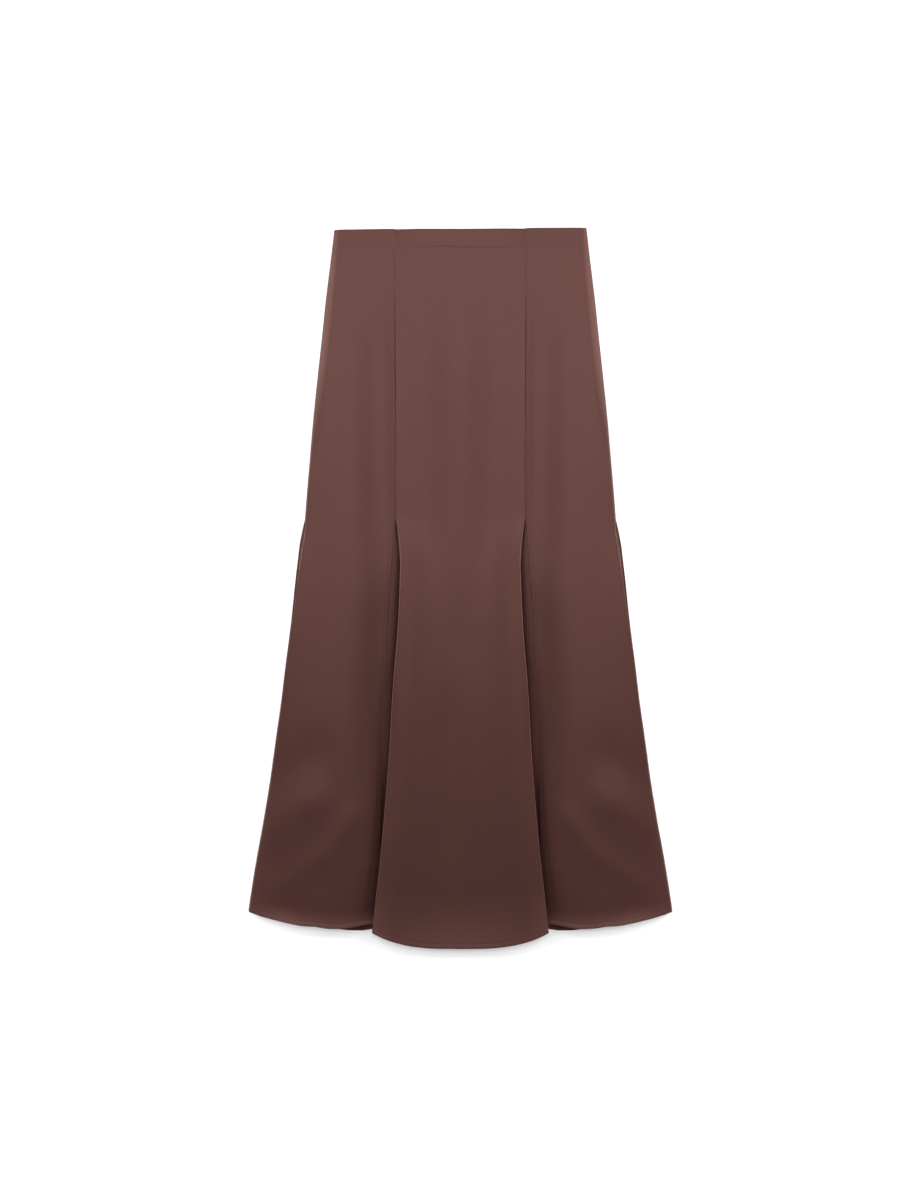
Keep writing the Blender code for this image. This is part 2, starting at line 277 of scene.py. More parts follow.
CENTRE_CURL = 3.2  # how far the hem of the centre front turns up
CENTRE_CURL_REACH = 64.0  # how far above the hem that starts
SIDE_CURL = 2.2  # the same for the side fronts
SIDE_CURL_REACH = 22.0
OUTER_CURL = 0.8  # added to it near their outer corners
OUTER_CURL_PLACE = 222.0
OUTER_CURL_SPREAD = 30.0
INNER_CURL = 1.6  # and at their inner corners
INNER_CURL_SPREAD = 30.0


def crease_height(creases, x, depth):
    """Sum of the creases' heights; each is a bell across its line and dies out at both ends."""
    total = np.zeros(np.broadcast(x, depth).shape)
    for crease in creases:
        run_x, run_depth = crease.x1 - crease.x0, crease.depth1 - crease.depth0
        length = math.hypot(run_x, run_depth)
        run_x, run_depth = run_x / length, run_depth / length
        along = ((x - crease.x0) * run_x + (depth - crease.depth0) * run_depth) / length
        aside = (x - crease.x0) * run_depth - (depth - crease.depth0) * run_x
        fade = smooth_step(along / END_FADE) * smooth_step((1.0 - along) / END_FADE)
        total += crease.height * fade * np.exp(-((aside / crease.width) ** 2))
    return total


def hem_curl(to_hem, height, reach):
    """Rise of a hem that curls up from the surface, at a distance above the hem."""
    return height * np.clip(1.0 - to_hem / reach, 0.0, 1.0) ** 2


# ---------------------------------------------------------------- heights of the front

# The centre front rises to its edges with a power of the distance from the middle, and rounds off there
EDGE_STEEPNESS = 4.0  # that power down to the hips
LOW_EDGE_STEEPNESS = 2.0  # and near the hem
EDGE_EASES = (200.0, 550.0)  # depths between which one becomes the other
SHOULDER_WIDTH = 26.0  # how far in from its edges the centre front starts to round off
SHOULDER_DROP = 2.2
SHOULDER_GROWS = 90.0  # depth by which that rounding is complete

# A side front climbs from its inner edge to a crest, and falls from there to its outer edge
SIDE_TUCK = 1.0  # how far under the centre front's edge the climb starts, where the two overlap
CREST_REACH = 64.0  # width of the climb, at the godets' points
CREST_SPREAD = 0.03  # growth of that width for each millimetre below
CLIMB_OPENS = (FRONT_TIP - 40.0, FRONT_TIP + 100.0)  # depths over which it becomes steepest at its foot
CLIMB_STEEPNESS = 2.0
LOW_CLIMB_STEEPNESS = 3.0
CLIMB_STEEPENS = (560.0, 700.0)
FALL_STEEPNESS = 3.0


def centre_front_height(x, depth):
    """Middle of the centre front's cloth, before its edges turn down."""
    edge = centre_edge(depth)
    share = np.clip(np.abs(x) / edge, 0.0, 1.0)
    steepness = blend(EDGE_STEEPNESS, LOW_EDGE_STEEPNESS, eased(depth, *EDGE_EASES))
    lift = blend(middle_lift(depth), centre_edge_lift(depth), share**steepness)
    shoulder = np.clip(1.0 - (edge - np.abs(x)) / SHOULDER_WIDTH, 0.0, 1.0) ** 2
    shoulder = shoulder * eased(depth, 0.0, SHOULDER_GROWS)
    return lift - SHOULDER_DROP * shoulder + crease_height(FRONT_CREASES, x, depth)


def side_front_height(x, depth, side):
    """Middle of a side front's cloth at a distance x from the middle of the skirt."""
    inner = np.maximum(side_inner(depth), centre_edge(depth) - SIDE_TUCK)
    crest = inner + CREST_REACH + CREST_SPREAD * np.maximum(depth - FRONT_TIP, 0.0)
    outer = front_outer(depth)
    across = np.clip((x - inner) / (crest - inner), 0.0, 1.0)
    steepness = blend(CLIMB_STEEPNESS, LOW_CLIMB_STEEPNESS, eased(depth, *CLIMB_STEEPENS))
    steep_climb = 1.0 - (1.0 - across) ** steepness
    climbed = blend(smooth_step(across), steep_climb, eased(depth, *CLIMB_OPENS))
    fallen = np.clip((x - crest) / (outer - crest), 0.0, 1.0) ** FALL_STEEPNESS
    lift = blend(side_inner_lift(depth), side_crest_lift(depth), climbed)
    lift = lift + (side_outer_lift(depth) - side_crest_lift(depth)) * fallen
    return lift + crease_height(FRONT_CREASES, side * x, depth)


# ---------------------------------------------------------------- grids of points


def spaced(start, *stretches):
    """Values from start on, through stretches given as (end, spacing)."""
    values = [start]
    for end, spacing in stretches:
        count = max(1, round((end - values[-1]) / spacing))
        first = values[-1]
        values += [first + (end - first) * step / count for step in range(1, count + 1)]
    return np.array(values)


HEM_BAND = 9.0  # the last stretch above a hem, where rows follow the hem's curve at fixed distances
HEM_ROWS = spaced(0.0, (1.2, 0.3), (4.0, 0.7), (6.0, 0.4), (HEM_BAND, 1.0))
HEM_ROUNDS = 3  # a column's x and its hem's depth depend on each other, and settle in as many rounds

Rows = namedtuple("Rows", "fixed from_hem")  # a row's depth is fixed + from_hem * the hem's depth


def rows_between(upper, blend_count):
    """Rows at the depths in `upper`, then bending towards the hem, then crowded along it."""
    start = upper[-1]
    share = np.linspace(0.0, 1.0, blend_count + 1)[1:]
    fixed = np.concatenate([upper, (1.0 - share) * start - share * HEM_BAND, -HEM_ROWS[-2::-1]])
    from_hem = np.concatenate([np.zeros(len(upper)), share, np.ones(len(HEM_ROWS) - 1)])
    return Rows(fixed, from_hem)


Columns = namedtuple("Columns", "share offset")  # x is left * (1 - share) + right * share + offset


def columns_between(near, count):
    """Columns crowded near both edges, at the distances in `near`, and even in between."""
    share = np.linspace(0.0, 1.0, count + 1)[1:-1]
    inset = near[-1] * (1.0 - 2.0 * share)
    return Columns(
        np.concatenate([np.zeros(len(near)), share, np.ones(len(near))]),
        np.concatenate([near, inset, -near[::-1]]),
    )


def flat_grid(rows, columns, left, right, hem):
    """x, depth and distance above the hem of every point of a panel between two edges."""
    hem_depth = np.full(len(columns.share), HEM_CORNER_DEPTH)
    for _ in range(HEM_ROUNDS):
        x = blend(left(hem_depth), right(hem_depth), columns.share) + columns.offset
        hem_depth = hem(x)
    depth = rows.fixed[:, None] + rows.from_hem[:, None] * hem_depth[None, :]
    x = blend(left(depth), right(depth), columns.share) + columns.offset
    return x, depth, hem_depth[None, :] - depth


def turn_down(distance, radius, drop):
    """Height of an edge that turns down in a quarter ellipse, at a distance from it."""
    share = np.clip(1.0 - distance / radius, 0.0, 1.0)
    return -drop * (1.0 - np.sqrt(1.0 - share**2))


def bend_down(distance, reach, drop):
    """Height of an edge that bends down in a parabola, softer than turn_down."""
    return -drop * np.clip(1.0 - distance / reach, 0.0, 1.0) ** 2


# ---------------------------------------------------------------- materials


def new_material(name):
    material = bpy.data.materials.new(name)
    material.use_nodes = True
    nodes = material.node_tree.nodes
    return material, nodes, material.node_tree.links, nodes["Principled BSDF"]


def mix_colour(nodes, links, factor, first, second):
    mix = nodes.new("ShaderNodeMix")
    mix.data_type = "RGBA"
    mix.inputs["A"].default_value = (*first, 1.0)
    mix.inputs["B"].default_value = (*second, 1.0)
    links.new(factor, mix.inputs["Factor"])
    return mix.outputs["Result"]


def noise_texture(nodes, links, vector, scale, detail, stretch=(1.0, 1.0, 1.0)):
    mapping = nodes.new("ShaderNodeMapping")
    mapping.inputs["Scale"].default_value = stretch
    links.new(vector, mapping.inputs["Vector"])
    noise = nodes.new("ShaderNodeTexNoise")
    noise.inputs["Scale"].default_value = scale
    noise.inputs["Detail"].default_value = detail
    links.new(mapping.outputs["Vector"], noise.inputs["Vector"])
    return noise.outputs["Fac"]


def map_range(nodes, links, value, low, high):
    node = nodes.new("ShaderNodeMapRange")
    node.inputs["To Min"].default_value = low
    node.inputs["To Max"].default_value = high
    links.new(value, node.inputs["Value"])
    return node.outputs["Result"]


# Linear colours; the dye of each side varies between its dark and its light one
SATIN_DARK = (0.0348, 0.0129, 0.0115)
SATIN_LIGHT = (0.0392, 0.0145, 0.0129)
WRONG_SIDE_DARK = (0.045, 0.0170, 0.0145)
WRONG_SIDE_LIGHT = (0.054, 0.0205, 0.0175)
GLOSS_TINT = (1.0, 0.52, 0.445, 1.0)  # dyed floats colour what they mirror
SHEEN_TINT = (0.9, 0.7, 0.66, 1.0)
SHEEN_ROUGHNESS = 0.4
REFRACTION = 1.45

# Textures lie on the cloth's own map, which is in metres: a noise's scale is its features in a metre
DYE_SCALE = 9.0
DYE_DETAIL = 3.0
GRAIN_SCALE = 260.0
GRAIN_DETAIL = 2.0
GRAIN_STRETCH = (1.0, 0.16, 1.0)  # drawn out down the cloth
GRAIN_ROUGHNESS = 0.03  # how far the grain changes the roughness either way
WEAVE_SCALE = 142.857  # a wave turns 20 radians in a metre for each unit, so ridges lie 2.2 mm apart
WEAVE_DISTORTION = 1.5
WEAVE_DETAIL = 1.0
WEAVE_STRENGTH = 0.12
WEAVE_DEPTH = 0.00003  # metres
CREPE_SCALE = 330.0
CREPE_DETAIL = 2.0
CREPE_STRETCH = (1.0, 0.5, 1.0)
CREPE_STRENGTH = 0.25
CREPE_DEPTH = 0.00012  # metres


def mean_value(nodes, links, first, second):
    total = nodes.new("ShaderNodeMath")
    total.operation = "ADD"
    links.new(first, total.inputs[0])
    links.new(second, total.inputs[1])
    half = nodes.new("ShaderNodeMath")
    half.operation = "MULTIPLY"
    half.inputs[1].default_value = 0.5
    links.new(total.outputs[0], half.inputs[0])
    return half.outputs[0]


def bump(nodes, links, height, strength, distance):
    node = nodes.new("ShaderNodeBump")
    node.inputs["Strength"].default_value = strength
    node.inputs["Distance"].default_value = distance
    links.new(height, node.inputs["Height"])
    return node


def woven_normal(nodes, links, flat):
    """Fine ridges down the cloth, under the soft unevenness of its surface."""
    weave = nodes.new("ShaderNodeTexWave")
    weave.bands_direction = "X"
    weave.inputs["Scale"].default_value = WEAVE_SCALE
    weave.inputs["Distortion"].default_value = WEAVE_DISTORTION
    weave.inputs["Detail"].default_value = WEAVE_DETAIL
    links.new(flat, weave.inputs["Vector"])
    fine = bump(nodes, links, weave.outputs["Fac"], WEAVE_STRENGTH, WEAVE_DEPTH)
    uneven = noise_texture(nodes, links, flat, CREPE_SCALE, CREPE_DETAIL, CREPE_STRETCH)
    crepe = bump(nodes, links, uneven, CREPE_STRENGTH, CREPE_DEPTH)
    links.new(fine.outputs["Normal"], crepe.inputs["Normal"])
    return crepe.outputs["Normal"]


def satin_material(name, dark, light, gloss, roughness, sheen, anisotropy):
    """Satin: long floats down the cloth, a soft stretched grain and a slight unevenness of dye."""
    material, nodes, links, shader = new_material(name)
    cloth = nodes.new("ShaderNodeUVMap")
    cloth.uv_map = "cloth"
    flat = cloth.outputs["UV"]

    dye = noise_texture(nodes, links, flat, DYE_SCALE, DYE_DETAIL)
    grain = noise_texture(nodes, links, flat, GRAIN_SCALE, GRAIN_DETAIL, GRAIN_STRETCH)
    colour = mix_colour(nodes, links, mean_value(nodes, links, dye, grain), dark, light)
    links.new(colour, shader.inputs["Base Color"])
    rough = map_range(nodes, links, grain, roughness - GRAIN_ROUGHNESS, roughness + GRAIN_ROUGHNESS)
    links.new(rough, shader.inputs["Roughness"])
    links.new(woven_normal(nodes, links, flat), shader.inputs["Normal"])

    tangent = nodes.new("ShaderNodeTangent")
    tangent.direction_type = "UV_MAP"
    tangent.uv_map = "cloth"
    links.new(tangent.outputs["Tangent"], shader.inputs["Tangent"])
    shader.inputs["Anisotropic"].default_value = anisotropy
    shader.inputs["IOR"].default_value = REFRACTION
    shader.inputs["Specular IOR Level"].default_value = gloss
    shader.inputs["Specular Tint"].default_value = GLOSS_TINT
    shader.inputs["Sheen Weight"].default_value = sheen
    shader.inputs["Sheen Roughness"].default_value = SHEEN_ROUGHNESS
    shader.inputs["Sheen Tint"].default_value = SHEEN_TINT
    return material


FLOOR_DARK = (0.93, 0.93, 0.93)
FLOOR_LIGHT = (0.95, 0.95, 0.95)
FLOOR_ROUGHNESS = 0.9
FLOOR_SPECKLE = 3.0
FLOOR_DETAIL = 2.0


def floor_material():
    material, nodes, links, shader = new_material("pale_floor")
    place = nodes.new("ShaderNodeTexCoord")
    speckle = noise_texture(nodes, links, place.outputs["Object"], FLOOR_SPECKLE, FLOOR_DETAIL)
    links.new(mix_colour(nodes, links, speckle, FLOOR_DARK, FLOOR_LIGHT), shader.inputs["Base Color"])
    shader.inputs["Roughness"].default_value = FLOOR_ROUGHNESS
    return material


RIGHT_SIDE = satin_material(
    "satin_right_side",
    SATIN_DARK,
    SATIN_LIGHT,
    gloss=0.54,
    roughness=0.40,
    sheen=0.02,
    anisotropy=0.25,
)
WRONG_SIDE = satin_material(
    "satin_wrong_side",
    WRONG_SIDE_DARK,
    WRONG_SIDE_LIGHT,
    gloss=0.2,
    roughness=0.70,
    sheen=0.02,
    anisotropy=0.0,
)

# ---------------------------------------------------------------- cloth


def world_points(x, depth, height):
    """Places in metres from distances right of the middle, depths and heights in millimetres."""
    fade = np.clip(1.0 - depth / WAIST_REACH, 0.0, 1.0)
    y = LENGTH / 2 - depth - waist_line(x) * fade
    return np.stack([x, y, height], axis=-1) * METRES


def grid_faces(rows, columns, start, flipped):
    index = start + np.arange(rows * columns).reshape(rows, columns)
    quads = np.stack([index[:-1, :-1], index[1:, :-1], index[1:, 1:], index[:-1, 1:]], axis=-1)
    quads = quads.reshape(-1, 4)
    return quads[:, ::-1] if flipped else quads


def rim_faces(rows, columns, flipped):
    """Faces that join the two sides of a sheet along its edges."""
    count = rows * columns
    index = np.arange(count).reshape(rows, columns)
    rim = np.concatenate([index[0, :-1], index[:-1, -1], index[-1, :0:-1], index[:0:-1, 0]])
    after = np.roll(rim, -1)
    faces = np.stack([rim, after, after + count, rim + count], axis=-1)
    return faces[:, ::-1] if flipped else faces


def cloth_sides(points, inner_extra, mirrored):
    """Points of the right and of the wrong side, half a thickness or more from the cloth's middle."""
    normal = np.cross(np.gradient(points, axis=0), np.gradient(points, axis=1))
    normal /= np.linalg.norm(normal, axis=-1, keepdims=True)
    if mirrored:
        normal = -normal
    half = CLOTH / 2 * METRES
    right = points + normal * half
    wrong = points - normal * (half + np.asarray(inner_extra)[..., None] * METRES)
    return right, wrong


def map_cloth(mesh, width, length):
    """Map both sides in metres of cloth; `width` runs along each row and `length` down each column."""
    rows, columns = width.shape[0], length.shape[1]
    u = np.concatenate([np.zeros((rows, 1)), width], axis=1) - width[:, -1:] / 2
    v = np.concatenate([np.zeros((1, columns)), length], axis=0)
    uv = np.stack([u, v], axis=-1).reshape(-1, 2)
    uv = np.concatenate([uv, uv])
    layer = mesh.uv_layers.new(name="cloth")
    corners = np.zeros(len(mesh.loops), dtype=np.int32)
    mesh.loops.foreach_get("vertex_index", corners)
    layer.data.foreach_set("uv", uv[corners].reshape(-1))


def cloth_piece(name, points, inner_extra, mirrored=False):
    """A closed sheet of satin on a grid of points.

    Its right side faces along the grid's normals, or against them if `mirrored`.
    `inner_extra` is added to the thickness on the wrong side, for turned-in hems, in millimetres.
    """
    rows, columns = points.shape[:2]
    right, wrong = cloth_sides(points, inner_extra, mirrored)
    right_faces = grid_faces(rows, columns, 0, mirrored)
    wrong_faces = grid_faces(rows, columns, rows * columns, not mirrored)
    faces = np.concatenate([right_faces, wrong_faces, rim_faces(rows, columns, mirrored)])
    vertices = np.concatenate([right.reshape(-1, 3), wrong.reshape(-1, 3)])

    mesh = bpy.data.meshes.new(name)
    mesh.from_pydata(vertices.tolist(), [], faces.tolist())
    mesh.materials.append(RIGHT_SIDE)
    mesh.materials.append(WRONG_SIDE)
    sides = np.zeros(len(faces), dtype=np.int32)
    sides[len(right_faces) : len(right_faces) + len(wrong_faces)] = 1
    mesh.polygons.foreach_set("material_index", sides)
    across, down = np.diff(points, axis=1), np.diff(points, axis=0)
    width = np.cumsum(np.linalg.norm(across, axis=-1), axis=1)
    length = np.cumsum(np.linalg.norm(down, axis=-1), axis=0)
    map_cloth(mesh, width, length)
    mesh.shade_smooth()
    mesh.update()

    piece = bpy.data.objects.new(name, mesh)
    bpy.context.scene.collection.objects.link(piece)
    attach(piece, "root")
    return piece


# ---------------------------------------------------------------- hems, waist and seams

HEM_TURNING = 5.5  # width of the narrow hem
HEM_EXTRA = 0.35  # its extra thickness
STITCH_DEPTH = 0.07  # how far its stitched line presses into the cloth
STITCH_WIDTH = 0.6
HEM_SWELL = 0.04  # how far the cloth stands out below that line
HEM_SWELLS_OVER = 1.5
EDGE_RADIUS = 0.9  # over which the hems' and the waist's edges round off
HEM_EDGE_DROP = 0.4

WAIST_TURNING = 23.0  # width of the turned-in waist
WAIST_EXTRA = 0.35  # its extra thickness
WAIST_PRINT = 0.16  # depth of the line that the turning prints through the front
PRINT_WIDTH = 0.7
PRINT_AT_SIDES = 0.35  # share of that depth at the sides
PRINT_SPREAD = 70.0  # distance from the middle over which it falls to that share
PRINT_WANDER = 0.5  # how far the line wanders up and down
PRINT_WANDER_LENGTH = 19.0  # distance across for one radian of that
PRINT_SLANT = 0.004  # and how much deeper it lies for each millimetre to the right
WAIST_EDGE_DROP = 0.35


def turned_hem(to_hem):
    """Extra thickness of a hem's turning."""
    return HEM_EXTRA * (to_hem < HEM_TURNING)


def turned_edges(depth, to_hem):
    """Extra thickness of the turnings at a panel's hem and waist."""
    return turned_hem(to_hem) + WAIST_EXTRA * (depth < WAIST_TURNING)


def hem_relief(to_hem):
    """The stitched line presses in, the cloth below it swells a little and the edge rounds off."""
    stitched = -STITCH_DEPTH * np.exp(-(((to_hem - HEM_TURNING) / STITCH_WIDTH) ** 2))
    swollen = HEM_SWELL * smooth_step((HEM_TURNING - to_hem) / HEM_SWELLS_OVER)
    return stitched + swollen + turn_down(to_hem, EDGE_RADIUS, HEM_EDGE_DROP)


def waist_relief(x, depth):
    """Line pressed through by the turned-in waist, deepest in the middle, and the rounded top edge."""
    line = WAIST_TURNING + PRINT_WANDER * np.sin(x / PRINT_WANDER_LENGTH) + PRINT_SLANT * x
    strength = blend(PRINT_AT_SIDES, 1.0, np.exp(-((x / PRINT_SPREAD) ** 2)))
    pressed = -WAIST_PRINT * strength * np.exp(-(((depth - line) / PRINT_WIDTH) ** 2))
    return pressed + turn_down(depth, EDGE_RADIUS, WAIST_EDGE_DROP)


# The groove along a closed front seam: its half width, and how far the panels' edges turn down into it
Seam = namedtuple("Seam", "depth width groove")
SEAM = (
    Seam(0, 0.6, 0.45),
    Seam(40, 0.7, 0.6),
    Seam(70, 0.8, 0.9),
    Seam(90, 0.9, 1.4),
    Seam(110, 0.9, 2.0),
    Seam(180, 0.9, 2.0),
    Seam(215, 0.9, 1.5),
    Seam(260, 0.9, 0.9),
    Seam(300, 0.6, 0.5),
    Seam(367, 0.7, 0.5),
)
seam_width = table_curve(SEAM, "depth", "width")
seam_groove = table_curve(SEAM, "depth", "groove")
SEAM_OPENS = (FRONT_TIP, FRONT_TIP + 12.0)  # depths between which the groove becomes two open edges
ALLOWANCE = 6.5  # seam to the edge of the allowance pressed under a side panel
ALLOWANCE_RIDGE = 0.07  # height of the ridge that this edge presses through
ALLOWANCE_WIDTH = 1.6

# Opened edges bend down softly where they rise from the godets' points, and more sharply below
Bend = namedtuple("Bend", "depth reach drop")
CENTRE_BEND = (
    Bend(367, 1.4, 0.8),
    Bend(385, 2.6, 1.5),
    Bend(420, 3.2, 1.8),
    Bend(460, 2.6, 1.2),
    Bend(520, 2.0, 0.8),
    Bend(590, 1.5, 0.5),
    Bend(900, 1.4, 0.45),
)
SIDE_BEND = (
    Bend(361, 6.0, 3.2),
    Bend(400, 4.0, 1.8),
    Bend(450, 3.0, 0.9),
    Bend(530, 2.2, 0.6),
    Bend(640, 1.6, 0.5),
    Bend(900, 1.2, 0.4),
)
centre_bend_reach = table_curve(CENTRE_BEND, "depth", "reach")
centre_bend_drop = table_curve(CENTRE_BEND, "depth", "drop")
side_bend_reach = table_curve(SIDE_BEND, "depth", "reach")
side_bend_drop = table_curve(SIDE_BEND, "depth", "drop")
SEAM_RADIUS = 0.7  # of a side front's edge, where it is sewn flat to the godet
SEAM_DROP = 0.3

SIDE_ROLL = 14.0  # width over which the front rolls down to the closed side seam
SHARP_ROLL = 2.5  # and where the roll is tight
ROLL_TIGHTENS = (130.0, 320.0)  # depths between which the first becomes the second
SIDE_REST = 0.75  # height of its edge on that seam
SIDE_REST_OPEN = 2.3  # and once the side godet's legs lie under it
REST_RISES = (SIDE_TIP - 20.0, SIDE_TIP + 20.0)  # depths between which it rises to that
SIDE_OPENS = (SIDE_TIP, SIDE_TIP + 25.0)  # depths between which the roll becomes an open panel's edge


def seam_or_open(distance, depth, opened_edge):
    """Edge of a front panel: a groove where its seam is closed, then as given once it is open."""
    closed = turn_down(distance, seam_width(depth), seam_groove(depth))
    return blend(closed, opened_edge, eased(depth, *SEAM_OPENS))


def centre_edge_bend(distance, depth):
    return bend_down(distance, centre_bend_reach(depth), centre_bend_drop(depth))


def side_edge_turn(from_side, depth, height):
    """Outer edge of a side front: rolled down to its side seam, and an open edge further down."""
    fall = height - blend(SIDE_REST, SIDE_REST_OPEN, eased(depth, *REST_RISES))
    tight = eased(depth, *ROLL_TIGHTENS)
    soft_roll = bend_down(from_side, SIDE_ROLL, fall * (1.0 - tight))
    sharp_roll = turn_down(from_side, SHARP_ROLL, fall * tight)
    open_edge = bend_down(from_side, side_bend_reach(depth), side_bend_drop(depth))
    return blend(soft_roll + sharp_roll, open_edge, eased(depth, *SIDE_OPENS))


# ---------------------------------------------------------------- the front

# Rows down to each depth and their spacing: close at the waist, its printed line and the godets' points
FRONT_STRETCHES = (
    (1.5, 0.3),
    (4.0, 0.8),
    (20.0, 2.6),
    (26.0, 0.6),
    (345.0, 3.2),
    (400.0, 1.6),
    (HEM_BLEND_START, 3.2),
)
FRONT_ROWS = rows_between(spaced(0.0, *FRONT_STRETCHES), blend_count=54)
CENTRE_COLUMNS = columns_between(spaced(0.0, (1.5, 0.25), (3.0, 0.5), (9.0, 1.5)), count=56)
SIDE_COLUMNS = columns_between(spaced(0.0, (1.5, 0.25), (3.0, 0.5), (11.0, 1.0)), count=44)


def make_centre_front():
    x, depth, to_hem = flat_grid(
        FRONT_ROWS,
        CENTRE_COLUMNS,
        left=lambda at: -centre_edge(at),
        right=centre_edge,
        hem=centre_front_hem,
    )
    distance = centre_edge(depth) - np.abs(x)
    height = centre_front_height(x, depth) + hem_relief(to_hem) + waist_relief(x, depth)
    height += hem_curl(to_hem, CENTRE_CURL, CENTRE_CURL_REACH)
    height += seam_or_open(distance, depth, centre_edge_bend(distance, depth))
    piece = cloth_piece(
        "cloth_front_centre",
        world_points(x, depth, height),
        turned_edges(depth, to_hem),
    )
    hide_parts("front_centre_panel")


def side_front_curl(x, to_hem, from_seam):
    outer = OUTER_CURL * np.exp(-(((x - OUTER_CURL_PLACE) / OUTER_CURL_SPREAD) ** 2))
    inner = INNER_CURL * (1.0 - smooth_step(from_seam / INNER_CURL_SPREAD))
    return hem_curl(to_hem, SIDE_CURL + outer + inner, SIDE_CURL_REACH)


def make_side_front(name, side):
    x, depth, to_hem = flat_grid(
        FRONT_ROWS, SIDE_COLUMNS, left=side_inner, right=front_outer, hem=side_front_hem
    )
    from_seam = x - side_inner(depth)
    height = side_front_height(x, depth, side) + hem_relief(to_hem) + waist_relief(side * x, depth)
    height += side_front_curl(x, to_hem, from_seam)
    height += seam_or_open(from_seam, depth, turn_down(from_seam, SEAM_RADIUS, SEAM_DROP))
    height += ALLOWANCE_RIDGE * np.exp(-(((from_seam - ALLOWANCE) / ALLOWANCE_WIDTH) ** 2))
    height += side_edge_turn(front_outer(depth) - x, depth, height)
    piece = cloth_piece(
        f"cloth_front_side_{name}",
        world_points(side * x, depth, height),
        turned_edges(depth, to_hem),
        mirrored=side < 0,
    )
    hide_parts(f"front_side_panel_{name}")


# ---------------------------------------------------------------- the back

BACK_ROWS = rows_between(spaced(0.0, (1.5, 0.5), (HEM_BLEND_START, 8.0)), blend_count=22)
BACK_EDGE = spaced(0.0, (1.5, 0.5), (6.0, 1.5))
CENTRE_BACK_COLUMNS = columns_between(BACK_EDGE, count=30)
SIDE_BACK_COLUMNS = columns_between(BACK_EDGE, count=26)


def back_height(x, depth):
    """Middle of the back's cloth, which rests on the surface but for its low ridges."""
    return CLOTH / 2 + crease_height(BACK_CREASES, x, depth)


def make_centre_back():
    x, depth, to_hem = flat_grid(
        BACK_ROWS,
        CENTRE_BACK_COLUMNS,
        left=lambda at: -back_seam(at),
        right=back_seam,
        hem=lambda at: back_hem(np.abs(at)),
    )
    piece = cloth_piece(
        "cloth_back_centre",
        world_points(x, depth, back_height(x, depth)),
        turned_edges(depth, to_hem),
        mirrored=True,
    )
    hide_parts("back_centre_panel")


def make_side_back(name, side):
    x, depth, to_hem = flat_grid(
        BACK_ROWS, SIDE_BACK_COLUMNS, left=back_seam, right=side_seam, hem=back_hem
    )
    piece = cloth_piece(
        f"cloth_back_side_{name}",
        world_points(side * x, depth, back_height(side * x, depth)),
        turned_edges(depth, to_hem),
        mirrored=side > 0,
    )
    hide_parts(f"back_side_panel_{name}")


# ---------------------------------------------------------------- godets

LEG_NEAR = spaced(0.0, (1.5, 0.3), (4.0, 0.6), (12.0, 1.6))  # a leg's columns near its seam
LEG_SHARES = np.linspace(0.0, 1.0, 16)[1:]  # and from there to the fold
LEG_COUNT = len(LEG_NEAR) + len(LEG_SHARES)
FOLD_ANGLES = np.radians(np.linspace(-90.0, 90.0, 11)[1:-1])  # columns round the fold
COLUMN_COUNT = 2 * LEG_COUNT + len(FOLD_ANGLES)
LOWER_LEG = np.s_[:, :LEG_COUNT]
AT_FOLD = np.s_[:, LEG_COUNT:-LEG_COUNT]
UPPER_LEG = np.s_[:, -LEG_COUNT:]
FOLD_ROUNDS = 4  # rounds in which the points of a folded godet settle on their arcs
FOLD_GAP = 0.04  # least space between the two legs at the fold
NARROWEST_LEG = 1.6  # width of a leg at the godet's point

# `start` is the distance of the first row from the godet's point, and the radii are those of its hem
Godet = namedtuple("Godet", "tip tip_x start lower_radius upper_radius")


def godet_rows(godet):
    """Distances of the rows from the godet's point, close near it and at the hem."""
    hem = godet.upper_radius
    above = spaced(godet.start, (40.0, 2.0), (300.0, 5.0), (hem - HEM_BAND, 6.5))
    return np.concatenate([above, hem - HEM_ROWS[-2::-1]])


def leg_length(depth, tip, spread, gap):
    """Width of each leg of a folded godet: half of what the opening between its seams leaves."""
    return np.maximum((spread * (depth - tip) - gap) / 2, NARROWEST_LEG)


def along_leg(seam, bend):
    """x of a leg's points, crowded near its seam over half of the leg at most.

    Each row and column has its own seam and bend.
    """
    length = np.abs(bend - seam)
    crowded_count = len(LEG_NEAR)
    crowded = np.minimum(LEG_NEAR / length[:, :crowded_count], LEG_NEAR / LEG_NEAR[-1] / 2)
    crowded_end = np.minimum(LEG_NEAR[-1] / length[:, crowded_count:], 0.5)
    share = np.concatenate([crowded, blend(crowded_end, 1.0, LEG_SHARES)], axis=1)
    return seam + (bend - seam) * share


